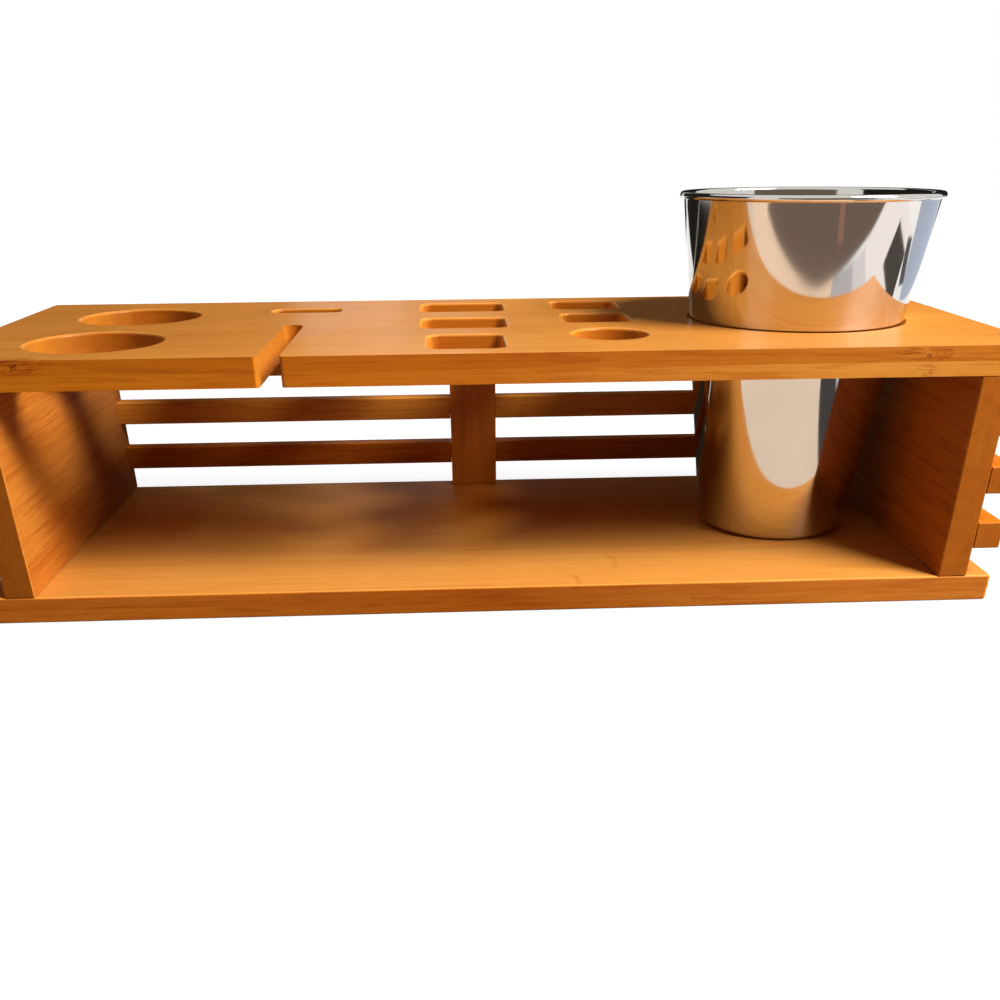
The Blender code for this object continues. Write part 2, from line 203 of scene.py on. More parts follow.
TOP_BOARD_LOOKS = {
    "seed": 8.0,
    "light": (0.97, 0.41, 0.07),
    "dark": (0.76, 0.265, 0.035),
    "ends": END_STAIN,
    "figure": 0.3,
    # Edge tones: partly the darker side grain, partly painted light and shade from left to right
    "edge_tones_light_and_shade": ((1.03, 0.74, 0.10), (0.88, 0.62, 0.20), (1.03, 1.0, 0.86)),
    "upper_ply": (0.80, 0.64, 0.38),
    "left_tone": (0.84, 0.82, 0.8),
    "sheen": 0.5,
    "scars": (
        ((0.1478, -0.0725, 0.0911), (0.013, 0.003, 0.0034), 0.9),
        ((0.1495, -0.0725, 0.0858), (0.006, 0.003, 0.0034), 0.7),
        ((-0.163, -0.0722, 0.0920), (0.022, 0.009, 0.0036), 1.0),
    ),
}
LEFT_PANEL_LOOKS = {
    "seed": 12.0,
    "light": (0.90, 0.335, 0.047),
    "dark": (0.63, 0.178, 0.018),
    # Ends darker than the other pieces': the end stain with painted shade on the panel's front and back faces
    "ends": (0.43, 0.32, 0.08),
    "figure": 0.15,
    # Painted shade over the back half
    "back_shade_and_sheen": ((0.64, 0.66, 0.92),) * 3,
}
RIGHT_PANEL_LOOKS = {
    "seed": 17.0,
    # Darker, redder colours than the left panel's: painted shade, as the inner face stands in shade
    "light": (0.76, 0.213, 0.016),
    "dark": (0.50, 0.118, 0.0065),
    "ends": END_STAIN,
    "figure": 0.15,
    # A painted grey sheen over the back half
    "back_shade_and_sheen": ((1.0, 1.2, 1.6),) * 3,
}
SIDE_SLAT_LOOKS = {
    "seed": 37.0,
    # The side slats share the right panel's colours, with their painted shade
    "light": RIGHT_PANEL_LOOKS["light"],
    "dark": RIGHT_PANEL_LOOKS["dark"],
    "ends": END_STAIN,
    "figure": 0.15,
}

# The post and the rows of back slats have their seed and light colour, and dark is a share of light
# Colours darker and redder than the boards', the lower row darker still: painted shade, as these pieces stand
# in shade under the top board
POST_SEED_AND_LIGHT = (21.0, (0.80, 0.26, 0.022))
BACK_SLAT_SEEDS_AND_LIGHTS = {
    "upper": (36.0, (0.86, 0.32, 0.034)),
    "middle": (37.0, (0.86, 0.32, 0.034)),
    "lower": (36.0, (0.64, 0.175, 0.009)),
}
DARK_SHARE = 0.62

# Camera, as the photograph was taken
CAMERA_PLACE = (-0.013618, -0.428042, 0.151429)
CAMERA_PITCH = math.radians(30.337)
CAMERA_YAW = math.radians(2.341)
CAMERA_ROLL = math.radians(-0.504)
CAMERA_LENS = 36.11
CAMERA_SENSOR = 36.0
CAMERA_SHIFT = (0.0025, 0.24)

# Lamps, each with its place, size and power; only the key lamp shows in reflections
LAMP_TARGET = (0.0, 0.0, 0.05)
LAMPS = {
    "key": ((0.84, -0.56, 1.02), (0.6, 0.6), 38.0),
    "back fill": ((0.0, 1.5, 0.3), (1.2, 0.6), 4.0),
    "left fill": ((-1.5, 0.0, 0.3), (1.2, 0.6), 4.0),
}
WORLD_LIGHT = 0.03

# Floor, which glows a little less near the object, so that its shadow shows
FLOOR_SIZE = 12.0
FLOOR_LEVEL = -0.0002
FLOOR_GREY = 0.2
FLOOR_NEAR_GLOW = 0.88
FLOOR_GLOW_REACH = (0.35, 0.9)

# Cards that show only in reflections. Each has its centre, size, colour, and its lean and turn in degrees.
# The bright and tinted ones give the steel its bands, and the unlit ones keep the sheen of the top board to
# one streak.
UNLIT = (0.02, 0.016, 0.012)
CARDS = {
    "white_card": ((0.585, -0.20, 0.0003), (0.39, 0.40), (1.37, 1.28, 1.28), 0, 0),
    "beige_card": ((-0.30, -0.14, 0.0006), (1.0, 0.12), (1.16, 0.92, 0.74), 0, 0),
    "bright_beige_card": ((-0.30, -0.68, 0.0005), (1.0, 0.96), (1.36, 1.0, 0.74), 0, 0),
    "grey_card": ((0.255, -0.20, 0.0007), (0.11, 0.26), (0.74, 0.70, 0.73), 0, 0),
    "light_grey_card": ((0.35, -0.20, 0.0007), (0.08, 0.26), (1.05, 1.0, 1.02), 0, 0),
    "front_card": ((0.132, -0.876, 0.001), (0.90, 1.1), (0.235, 0.165, 0.13), 0, -5),
    "brown_card": ((0.205, -0.60, 0.0015), (0.035, 0.44), (0.42, 0.225, 0.16), 0, -4),
    "wedge_card": ((0.595, -0.105, 0.001), (0.17, 0.19), (0.107, 0.089, 0.082), 0, 0),
    "strip_card": ((0.675, 0.037, 0.0013), (0.15, 0.08), (0.14, 0.14, 0.155), 0, -24),
    "stripe_card": ((0.222, -0.15, 0.001), (0.062, 0.14), (0.087, 0.077, 0.08), 0, 0),
    "blue_card": ((1.185, 0.60, 0.001), (1.0, 1.2), (0.60, 0.67, 0.85), 0, -11),
    "left_card": ((-1.3, 0.45, 0.6), (1.9, 1.2), UNLIT, 90, 90),
    "left_floor_card": ((-0.695, 0.955, 0.001), (1.01, 0.79), UNLIT, 0, 0),
    "back_card_low_left": ((-1.17, 1.4, 0.18), (1.8, 0.36), UNLIT, 90, 0),
    "back_card_low_right": ((1.005, 1.4, 0.18), (2.19, 0.36), UNLIT, 90, 0),
    "back_card_high_left": ((-1.07, 1.4, 0.98), (2.0, 1.24), UNLIT, 90, 0),
    "back_card_high_right": ((1.065, 1.4, 0.98), (2.07, 1.24), UNLIT, 90, 0),
    "back_floor_card": ((-0.075, 0.32, 0.001), (0.85, 0.46), UNLIT, 0, 0),
    "front_wall_card": ((0.0, -1.7, 0.5), (3.0, 1.0), (0.2, 0.16, 0.12), 90, 0),
}

openings = {opening["name"]: opening["box_m"] for opening in frame["record"]["physics"]["openings"]}


def use(item):
    """Makes this the one selected and active object."""
    bpy.ops.object.select_all(action="DESELECT")
    item.select_set(True)
    bpy.context.view_layer.objects.active = item


def named(name):
    """Names the primitive that was just added, and puts its place and size into its mesh."""
    item = bpy.context.object
    item.name = name
    item.data.name = name
    bpy.ops.object.transform_apply(location=True, rotation=True, scale=True)
    return item


def block(name, low, high):
    bpy.ops.object.select_all(action="DESELECT")
    low, high = Vector(low), Vector(high)
    bpy.ops.mesh.primitive_cube_add(size=1.0, location=(low + high) / 2)
    bpy.context.object.scale = high - low
    return named(name)


def rod(name, centre, radius, length, sides, axis=2):
    """A round rod along the axis with that number."""
    bpy.ops.object.select_all(action="DESELECT")
    turn = ((0.0, math.pi / 2, 0.0), (math.pi / 2, 0.0, 0.0), (0.0, 0.0, 0.0))[axis]
    bpy.ops.mesh.primitive_cylinder_add(
        vertices=sides, radius=radius, depth=length, location=centre, rotation=turn
    )
    return named(name)


def pick(item, kind, chosen):
    """Opens a mesh for work, with those edges or faces selected that the test chooses."""
    use(item)
    bpy.ops.object.mode_set(mode="EDIT")
    bpy.ops.mesh.select_mode(type=kind)
    bpy.ops.mesh.select_all(action="DESELECT")
    mesh = bmesh.from_edit_mesh(item.data)
    for part in mesh.edges if kind == "EDGE" else mesh.faces:
        part.select_set(chosen(part))
    bmesh.update_edit_mesh(item.data)


def put_down():
    bpy.ops.object.mode_set(mode="OBJECT")


def runs_along(edge, axis):
    first, second = (vert.co for vert in edge.verts)
    return all(abs(first[other] - second[other]) < TOUCHING for other in range(3) if other != axis)


def is_upright(edge):
    return runs_along(edge, 2)


def round_edges(item, radius, segments, chosen):
    """Rounds the edges that the test chooses."""
    pick(item, "EDGE", chosen)
    bpy.ops.mesh.bevel(offset=radius, segments=segments, affect="EDGES")
    put_down()


def apply(item, modifier):
    use(item)
    bpy.ops.object.modifier_apply(modifier=modifier.name)


def ease(item, width):
    """Rounds every sharp edge over, as sanding does."""
    bevel = item.modifiers.new("eased edges", "BEVEL")
    bevel.width = width
    bevel.segments = EASE_SEGMENTS
    bevel.limit_method = "ANGLE"
    bevel.angle_limit = EASED_FROM
    apply(item, bevel)


def cut(item, cutters):
    """Takes the cutters out of the piece, and throws them away."""
    use(cutters[0])
    for cutter in cutters:
        cutter.select_set(True)
    bpy.ops.object.join()
    cutter = bpy.context.object
    boolean = item.modifiers.new("cut", "BOOLEAN")
    boolean.operation = "DIFFERENCE"
    boolean.solver = "EXACT"
    boolean.object = cutter
    apply(item, boolean)
    bpy.data.objects.remove(cutter, do_unlink=True)


def meet(box, other):
    return all(box[0][axis] < other[1][axis] and other[0][axis] < box[1][axis] for axis in range(3))


def dowel_room(node):
    """The blind hole round one dowel."""
    low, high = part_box(node)
    size = high - low
    axis = max(range(3), key=lambda number: size[number])
    radius = size[(axis + 1) % 3] / 2 + SEAT_GAP
    length = size[axis] + 2 * SEAT_GAP
    return rod(node + "_room", (low + high) / 2, radius, length, DOWEL_SIDES, axis)


def mortises(node):
    """Room for both tenons of one back slat, as one bar through the pieces at its ends."""
    low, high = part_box(node)
    side = TENON_SHOULDER - SEAT_GAP
    inwards = Vector((-SEAT_GAP, side, side))
    return block(node + "_room", low + inwards, high - inwards)


def fit_joints(item, node):
    """Drills and mortises a piece for every dowel and tenon that reaches into it."""
    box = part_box(node)
    reaching = [other for other in frame["nodes"] if meet(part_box(other), box)]
    rooms = [dowel_room(other) for other in reaching if "_dowel_" in other]
    rooms += [mortises(other) for other in reaching if "back_slat" in other]
    cut(item, rooms)


def lean(normal, walls_are_round):
    """0 where a surface faces straight along an axis, and more where it leans towards the next face."""
    x, y, z = (abs(part) for part in normal)
    return 1.0 - (max(math.hypot(x, y), z) if walls_are_round else max(x, y, z))


def mark_eased_edges(item, walls_are_round):
    """Keeps in an attribute where the edges are eased, because wear and a painted highlight follow them."""
    mesh = item.data
    leans = [lean(vertex.normal, walls_are_round) for vertex in mesh.vertices]
    attribute = mesh.attributes.new("eased_edge", "FLOAT", "CORNER")
    for face in mesh.polygons:
        if lean(face.normal, walls_are_round) < FLAT_UP_TO:
            continue
        for corner in face.loop_indices:
            value = (leans[mesh.loops[corner].vertex_index] - WEAR_FROM) / WEAR_OVER
            attribute.data[corner].value = min(max(value, 0.0), 1.0)


def smooth(item):
    """Smooth shading that keeps flat faces flat."""
    use(item)
    bpy.ops.object.shade_smooth_by_angle(angle=SMOOTH_UP_TO)
    weighted = item.modifiers.new("flat faces", "WEIGHTED_NORMAL")
    weighted.keep_sharp = True
    apply(item, weighted)


def dress(item, material, body, node):
    """Gives a piece its finish, the CAD body that it rides on and the node that it stands for."""
    item.data.materials.clear()
    item.data.materials.append(material)
    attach(item, body)
    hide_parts(node)


def finish_wood(item, bamboo_finish, node, walls_are_round=False):
    """The last steps on a wooden piece."""
    mark_eased_edges(item, walls_are_round)
    smooth(item)
    dress(item, bamboo_finish, "organizer", node)


def board_blank(node):
    """A board with its four corners rounded, before it is cut and sanded."""
    item = block(node + "_wood", *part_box(node))
    round_edges(item, BOARD_CORNER_RADIUS, EASE_SEGMENTS, is_upright)
    return item


def base_board():
    item = board_blank("base_board")
    ease(item, BOARD_EDGE_EASE)
    fit_joints(item, "base_board")
    return item


def opening_centre(name):
    low, high = openings[name]
    return (low[0] + high[0]) / 2, (low[1] + high[1]) / 2


def slot_cutter(name, middle, depth):
    """A block with round corners, for one closed slot."""
    half = Vector((*SLOT_SIZES[name], depth)) / 2
    centre = Vector((*opening_centre(name), middle))
    item = block(name, centre - half, centre + half)
    round_edges(item, SLOT_CORNER_RADIUS, CORNER_SEGMENTS, is_upright)
    return item


def notch_cutter(notch_x, front, middle, depth):
    """A block with a round end, which reaches into the board from before its front edge."""
    low = (notch_x - NOTCH_WIDTH / 2, front - NOTCH_WIDTH, middle - depth / 2)
    high = (notch_x + NOTCH_WIDTH / 2, front + NOTCH_LENGTH, middle + depth / 2)
    item = block("notch", low, high)

    def at_inner_end(edge):
        return is_upright(edge) and edge.verts[0].co.y > front

    round_edges(item, NOTCH_END_RADIUS, CORNER_SEGMENTS, at_inner_end)
    return item


def top_board():
    low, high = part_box("top_board")
    item = board_blank("top_board")
    middle = (low.z + high.z) / 2
    depth = 2 * (high.z - low.z)
    tin_x, tin_y = (sum(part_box("shaker_tin"), Vector()) / 2).xy
    notch_x = opening_centre("front_notch")[0]
    cutters = [rod("tin_hole", (tin_x, tin_y, middle), TIN_HOLE_RADIUS, depth, HOLE_SIDES)]
    for name, radius in ROUND_HOLE_RADII.items():
        cutters.append(rod(name, (*opening_centre(name), middle), radius, depth, HOLE_SIDES))
    cutters += [slot_cutter(name, middle, depth) for name in SLOT_SIZES]
    cutters.append(notch_cutter(notch_x, low.y, middle, depth))
    cut(item, cutters)

    def at_notch_mouth(edge):
        place = edge.verts[0].co
        on_wall = abs(abs(place.x - notch_x) - NOTCH_WIDTH / 2) < TOUCHING
        return is_upright(edge) and on_wall and place.y < low.y + TOUCHING

    def at_rim(edge):
        """Upper edges of the closed cut-outs, apart from the tin's."""
        for x, y, z in (vert.co for vert in edge.verts):
            in_notch = abs(x - notch_x) < NOTCH_WIDTH / 2 + BESIDE and y < low.y + NOTCH_LENGTH + BESIDE
            at_tin = math.hypot(x - tin_x, y - tin_y) < TIN_HOLE_RADIUS + BESIDE
            outside = abs(x) > high.x - BESIDE or abs(y) > high.y - BESIDE
            if z < high.z - TOUCHING or in_notch or at_tin or outside:
                return False
        return edge.calc_face_angle(0.0) > EASED_FROM

    round_edges(item, RIM_EASE, EASE_SEGMENTS, at_rim)
    round_edges(item, NOTCH_MOUTH_RADIUS, EASE_SEGMENTS, at_notch_mouth)
    ease(item, BOARD_EDGE_EASE)
    fit_joints(item, "top_board")
    return item


def standing_piece(node):
    """A panel or the post: eased where it stands free, square where it meets the boards."""
    item = block(node + "_wood", *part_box(node))
    round_edges(item, STRIP_EDGE_EASE, EASE_SEGMENTS, is_upright)
    fit_joints(item, node)
    return item


def side_slat(node):
    """A slat with every edge eased, apart from those on the face that is glued to its panel."""
    low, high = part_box(node)
    glued_x = high.x if high.x < 0.0 else low.x
    item = block(node + "_wood", low, high)

    def is_free(edge):
        return any(abs(vert.co.x - glued_x) > TOUCHING for vert in edge.verts)

    round_edges(item, STRIP_EDGE_EASE, EASE_SEGMENTS, is_free)
    fit_joints(item, node)
    return item


def back_slat(node):
    """A slat with eased long edges, tight square shoulders and a stub tenon at each end."""
    low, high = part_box(node)
    bare_tenon = TENON_LENGTH - SEAT_GAP + SHOULDER_GAP
    tenon = Vector((bare_tenon, 0.0, 0.0))
    item = block(node + "_wood", low + tenon, high - tenon)
    for side in (-1, 1):
        pick(item, "FACE", lambda face: face.normal.x * side > 0.999)
        bpy.ops.mesh.inset(thickness=TENON_SHOULDER, depth=0.0)
        bpy.ops.mesh.extrude_region_move(TRANSFORM_OT_translate={"value": (side * bare_tenon, 0.0, 0.0)})
        put_down()

    def is_long(edge):
        return runs_along(edge, 0) and edge.calc_length() > 2 * TENON_LENGTH

    round_edges(item, STRIP_EDGE_EASE, EASE_SEGMENTS, is_long)
    return item


def arc(centre_x, centre_z, radius, start, end, steps):
    """Radius and height of points on an arc, from start to end in degrees, both included."""
    angles = [math.radians(start + (end - start) * step / steps) for step in range(steps + 1)]
    return [(centre_x + radius * math.cos(turn), centre_z + radius * math.sin(turn)) for turn in angles]


def straight(start, end, steps):
    """Points between two rings, without the two."""
    return [tuple(a + (b - a) * step / steps for a, b in zip(start, end)) for step in range(1, steps)]


def tin_rings(foot_z, rim_z):
    """Radius and height of the tin's rings: its underside, outer wall, rolled rim, inner wall and floor."""
    foot_corner = (TIN_FOOT_RADIUS - TIN_FOOT_EASE, foot_z + TIN_FOOT_EASE)
    ring_inner = foot_corner[0] - TIN_FOOT_RING
    recess = ring_inner - 2 * TIN_BASE_RECESS
    bead_x = TIN_MOUTH_RADIUS - TIN_WALL + TIN_BEAD_RADIUS
    bead_start = -180 + math.degrees(math.acos(1 - TIN_WALL / TIN_BEAD_RADIUS))
    outer_foot = arc(*foot_corner, TIN_FOOT_EASE, -90, 0, CORNER_SEGMENTS)
    bead = arc(bead_x, rim_z - TIN_BEAD_RADIUS, TIN_BEAD_RADIUS, bead_start, 180, 2 * CORNER_SEGMENTS)
    inner_foot = arc(*foot_corner, TIN_FOOT_EASE - TIN_WALL, 0, -90, CORNER_SEGMENTS)
    rings = [(recess, foot_z + TIN_BASE_RECESS), (ring_inner, foot_z)]
    rings += outer_foot + straight(outer_foot[-1], bead[0], WALL_RINGS) + bead
    rings += straight(bead[-1], inner_foot[0], WALL_RINGS) + inner_foot
    rings += [(ring_inner, foot_z + TIN_WALL), (recess, foot_z + TIN_BASE_RECESS + TIN_WALL)]
    return rings


def shaker_tin():
    """Raised ring by ring from a disc, as a tin is spun from a blank."""
    low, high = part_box("shaker_tin")
    x, y = ((low + high) / 2).xy
    rings = tin_rings(low.z, high.z)
    bpy.ops.object.select_all(action="DESELECT")
    radius, height = rings[0]
    bpy.ops.mesh.primitive_circle_add(
        vertices=TIN_SIDES, radius=radius, fill_type="TRIFAN", location=(x, y, height)
    )
    item = named("shaker_tin_shell")
    pick(item, "EDGE", lambda edge: edge.is_boundary)
    for next_radius, next_height in rings[1:]:
        rise = (0.0, 0.0, next_height - height)
        bpy.ops.mesh.extrude_region_move(TRANSFORM_OT_translate={"value": rise})
        share = next_radius / radius
        bpy.ops.transform.resize(value=(share, share, 1.0), center_override=(x, y, next_height))
        radius, height = next_radius, next_height
    bpy.ops.mesh.extrude_region_move(TRANSFORM_OT_translate={"value": (0.0, 0.0, 0.0)})
    bpy.ops.mesh.merge(type="CENTER")
    bpy.ops.mesh.select_all(action="SELECT")
    bpy.ops.mesh.normals_make_consistent(inside=False)
    put_down()
    return item


def new_group(name, inputs, outputs):
    """A shader node group with its sockets; inputs give each one's kind and first value."""
    tree = bpy.data.node_groups.new(name, "ShaderNodeTree")
    for label, (kind, value) in inputs.items():
        socket = tree.interface.new_socket(name=label, in_out="INPUT", socket_type="NodeSocket" + kind)
        socket.default_value = value
    for label in outputs:
        tree.interface.new_socket(name=label, in_out="OUTPUT", socket_type="NodeSocketFloat")
    return tree, tree.nodes.new("NodeGroupInput").outputs, tree.nodes.new("NodeGroupOutput").inputs


def feed(tree, socket, value):
    """Links a socket to a socket, or writes a plain value into it."""
    if isinstance(value, bpy.types.NodeSocket):
        tree.links.new(value, socket)
    else:
        socket.default_value = value


def maths(tree, operation, *values, clamp=False):
    node = tree.nodes.new("ShaderNodeMath")
    node.operation = operation
    node.use_clamp = clamp
    for socket, value in zip(node.inputs, values):
        feed(tree, socket, value)
    return node.outputs[0]


def product(tree, first, *others):
    for other in others:
        first = maths(tree, "MULTIPLY", first, other)
    return first


def apart(tree, first, second):
    """How far two values are apart."""
    return maths(tree, "ABSOLUTE", maths(tree, "SUBTRACT", first, second))


def from_middle(tree, value):
    """How far a value lies from the middle of its cell, where each cell is 1 long."""
    return apart(tree, maths(tree, "FRACT", value), 0.5)


def vector_maths(tree, operation, *values):
    node = tree.nodes.new("ShaderNodeVectorMath")
    node.operation = operation
    for socket, value in zip(node.inputs, values):
        feed(tree, socket, value)
    return node.outputs["Value" if operation == "LENGTH" else "Vector"]


def split(tree, vector):
    node = tree.nodes.new("ShaderNodeSeparateXYZ")
    feed(tree, node.inputs[0], vector)
    return node.outputs


def joined(tree, x, y, z):
    node = tree.nodes.new("ShaderNodeCombineXYZ")
    for socket, value in zip(node.inputs, (x, y, z)):
        feed(tree, socket, value)
    return node.outputs[0]


def noise(tree, vector, scale=1.0, detail=2.0, roughness=0.5, distortion=0.0):
    node = tree.nodes.new("ShaderNodeTexNoise")
    feed(tree, node.inputs["Vector"], vector)
    node.inputs["Scale"].default_value = scale
    node.inputs["Detail"].default_value = detail
    node.inputs["Roughness"].default_value = roughness
    node.inputs["Distortion"].default_value = distortion
    return node.outputs["Fac"]


def drawn_out_noise(tree, vector, scales, **settings):
    """Noise with a scale of its own along each axis."""
    return noise(tree, vector_maths(tree, "MULTIPLY", vector, scales), **settings)


def chance(tree, vector):
    """One random value for each whole-numbered place."""
    node = tree.nodes.new("ShaderNodeTexWhiteNoise")
    node.noise_dimensions = "3D"
    feed(tree, node.inputs["Vector"], vector)
    return node.outputs["Value"]


def span(tree, value, low, high, to_low=0.0, to_high=1.0, softly=False):
    """Maps the span from low to high onto another one, and holds it there."""
    node = tree.nodes.new("ShaderNodeMapRange")
    node.interpolation_type = "SMOOTHSTEP" if softly else "LINEAR"
    given = {"Value": value, "From Min": low, "From Max": high, "To Min": to_low, "To Max": to_high}
    for label, number in given.items():
        feed(tree, node.inputs[label], number)
    return node.outputs["Result"]


def fade(tree, value, full, gone):
    """1 up to the value named full, and softly down to 0 at the one named gone."""
    return span(tree, value, full, gone, 1.0, 0.0, softly=True)


def blend_colours(tree, factor, first, second, kind="MIX"):
    """Mixes two colours, each a socket or three plain numbers."""
    node = tree.nodes.new("ShaderNodeMix")
    node.data_type = "RGBA"
    node.blend_type = kind
    feed(tree, node.inputs[0], factor)
    for socket, colour in zip(node.inputs[6:8], (first, second)):
        feed(tree, socket, colour if isinstance(colour, bpy.types.NodeSocket) else (*colour, 1.0))
    return node.outputs[2]


def stain(tree, colour, mask, tone):
    """Multiplies a colour by a tone where the mask is."""
    return blend_colours(tree, mask, colour, tone, "MULTIPLY")


def tone_ramp(tree, place, tones):
    """A tone that changes along a length, where place goes from 0 to 1."""
    node = tree.nodes.new("ShaderNodeValToRGB")
    elements = node.color_ramp.elements
    for number, (position, tone) in enumerate(zip(TONE_PLACES, tones)):
        element = elements[number] if number < 2 else elements.new(position)
        element.position = position
        element.color = (*tone, 1.0)
    feed(tree, node.inputs["Fac"], place)
    return node.outputs["Color"]


def strips_group():
    """Laminated strips: grain runs along X, strips lie side by side along Y, plies are stacked along Z.

    Shift is how far a strip's own pattern is moved, so that no two strips show the same piece of it.
    """
    tree, given, result = new_group(
        "bamboo strips",
        {
            "Vector": ("Vector", (0.0, 0.0, 0.0)),
            "Strip Width": ("Float", 0.02),
            "Ply Thickness": ("Float", 0.005),
            "Node Spacing": ("Float", 0.2),
            "Seed": ("Float", 0.0),
        },
        ("Tone", "Seam", "Node Ring", "Node Halo", "Shift"),
    )
    x, y, z = split(tree, given["Vector"])
    across = maths(tree, "DIVIDE", y, given["Strip Width"])
    layer = maths(tree, "DIVIDE", z, given["Ply Thickness"])
    cell = joined(tree, maths(tree, "FLOOR", across), maths(tree, "FLOOR", layer), given["Seed"])
    feed(tree, result["Tone"], chance(tree, cell))

    shift = product(tree, chance(tree, vector_maths(tree, "ADD", cell, (7.0, 3.0, 5.0))), LARGEST_SHIFT)
    feed(tree, result["Shift"], shift)

    side_seam = span(tree, from_middle(tree, across), 0.492, 0.5, softly=True)
    level_seam = span(tree, from_middle(tree, layer), 0.485, 0.5, softly=True)
    feed(tree, result["Seam"], maths(tree, "MAXIMUM", side_seam, level_seam))

    ragged = drawn_out_noise(tree, given["Vector"], (60.0, 420.0, 420.0), detail=3.0)
    ragged = product(tree, maths(tree, "SUBTRACT", ragged, 0.5), NODE_RAGGEDNESS)
    along = maths(tree, "ADD", maths(tree, "ADD", x, shift), ragged)
    away = from_middle(tree, maths(tree, "DIVIDE", along, given["Node Spacing"]))
    away = product(tree, away, given["Node Spacing"])
    flecks = drawn_out_noise(tree, given["Vector"], (420.0, 1100.0, 1100.0))
    ring = product(tree, fade(tree, away, 0.0, NODE_RING_REACH), span(tree, flecks, 0.45, 0.62))
    feed(tree, result["Node Ring"], ring)
    feed(tree, result["Node Halo"], fade(tree, away, *NODE_HALO_REACH))
    return tree


def fibres_group():
    """Fine fibres along X, with dark dashes where the vessels are cut open."""
    tree, given, result = new_group(
        "bamboo fibres",
        {"Vector": ("Vector", (0.0, 0.0, 0.0)), "Coarseness": ("Float", 1.0)},
        ("Fibres", "Streaks", "Figure", "Dashes"),
    )
    size = given["Coarseness"]
    place = vector_maths(tree, "DIVIDE", given["Vector"], joined(tree, size, size, size))
    fine = drawn_out_noise(tree, place, (22.0, 1500.0, 1500.0), detail=3.0, roughness=0.6)
    broad = drawn_out_noise(tree, place, (7.0, 260.0, 260.0), distortion=0.3)
    figure = drawn_out_noise(tree, place, (38.0, 640.0, 640.0), detail=3.0, distortion=0.7)
    dashes = drawn_out_noise(tree, place, (75.0, 2300.0, 2300.0), detail=1.0)
    feed(tree, result["Fibres"], span(tree, fine, 0.3, 0.7))
    feed(tree, result["Streaks"], span(tree, broad, 0.32, 0.68))
    feed(tree, result["Figure"], span(tree, figure, 0.46, 0.68, softly=True))
    feed(tree, result["Dashes"], span(tree, dashes, 0.66, 0.78, softly=True))
    return tree


def scar_group():
    """The scar of a stalk's node at one place: a pale heart, a dark rim, a crack and wavy streaks."""
    tree, given, result = new_group(
        "node scar",
        {
            "Vector": ("Vector", (0.0, 0.0, 0.0)),
            "Centre": ("Vector", (0.0, 0.0, 0.0)),
            "Reach": ("Vector", (0.005, 0.005, 0.005)),
        },
        ("Crack", "Rim", "Heart", "Streaks"),
    )
    place = given["Vector"]
    offset = vector_maths(tree, "SUBTRACT", place, given["Centre"])
    offset = vector_maths(tree, "DIVIDE", offset, given["Reach"])
    wobble = noise(tree, place, 210.0, 3.0)
    along = maths(tree, "ADD", split(tree, offset)["X"], span(tree, wobble, 0.3, 0.7, -0.35, 0.35))
    away = vector_maths(tree, "LENGTH", offset)
    away = maths(tree, "ADD", away, span(tree, wobble, 0.3, 0.7, -0.2, 0.2))
    feed(tree, result["Heart"], fade(tree, away, 0.25, 0.6))

    rim = fade(tree, apart(tree, away, 0.62), 0.03, 0.26)
    gaps = span(tree, noise(tree, place, 330.0, 2.0), 0.36, 0.56, 0.15, 1.0)
    one_sided = span(tree, along, -0.2, 0.6, softly=True)
    feed(tree, result["Rim"], product(tree, rim, gaps, one_sided))

    crack = fade(tree, apart(tree, along, 0.35), 0.02, 0.12)
    broken = span(tree, noise(tree, place, 700.0, 2.0), 0.4, 0.55)
    near = fade(tree, away, 0.5, 1.0)
    feed(tree, result["Crack"], product(tree, crack, broken, near))

    wavy = drawn_out_noise(tree, place, (110.0, 760.0, 900.0), detail=3.0, roughness=0.55, distortion=1.4)
    wavy = span(tree, wavy, 0.5, 0.62, softly=True)
    feed(tree, result["Streaks"], product(tree, wavy, fade(tree, away, 0.4, 1.15)))
    return tree


def wear_group():
    """Broken-up wear along the eased edges of a piece, also used for a painted highlight there."""
    tree, given, result = new_group(
        "eased edge wear and highlight", {"Vector": ("Vector", (0.0, 0.0, 0.0)), "Amount": ("Float", 1.0)}, ("Wear",)
    )
    attribute = tree.nodes.new("ShaderNodeAttribute")
    attribute.attribute_name = "eased_edge"
    patches = span(tree, noise(tree, given["Vector"], 55.0, 4.0, 0.6), 0.3, 0.62, 0.35, 1.0)
    wear = product(tree, attribute.outputs["Fac"], patches)
    feed(tree, result["Wear"], maths(tree, "MULTIPLY", wear, given["Amount"], clamp=True))
    return tree


def handling_group():
    """Smudges and faint dust that a hand leaves on a finish."""
    tree, given, result = new_group(
        "handling marks",
        {"Vector": ("Vector", (0.0, 0.0, 0.0)), "Size": ("Float", 1.0)},
        ("Smudges", "Specks"),
    )
    size = given["Size"]
    place = vector_maths(tree, "DIVIDE", given["Vector"], joined(tree, size, size, size))
    smudges = noise(tree, place, 24.0, 3.0, 0.55, 0.6)
    specks = noise(tree, place, 900.0, 1.0)
    feed(tree, result["Smudges"], span(tree, smudges, 0.35, 0.7, softly=True))
    feed(tree, result["Specks"], span(tree, specks, 0.76, 0.82, softly=True))
    return tree


strips = strips_group()
fibres = fibres_group()
scar = scar_group()
edge_wear = wear_group()
handling = handling_group()


def place_group(tree, group, **values):
    """Places a group in a material, with its own values; underscores in the labels stand for spaces."""
    node = tree.nodes.new("ShaderNodeGroup")
    node.node_tree = group
    for label, value in values.items():
        feed(tree, node.inputs[label.replace("_", " ")], value)
    return node.outputs


def new_material(name):
    material = bpy.data.materials.new(name)
    material.use_nodes = True
    tree = material.node_tree
    return material, tree, tree.nodes["Principled BSDF"]


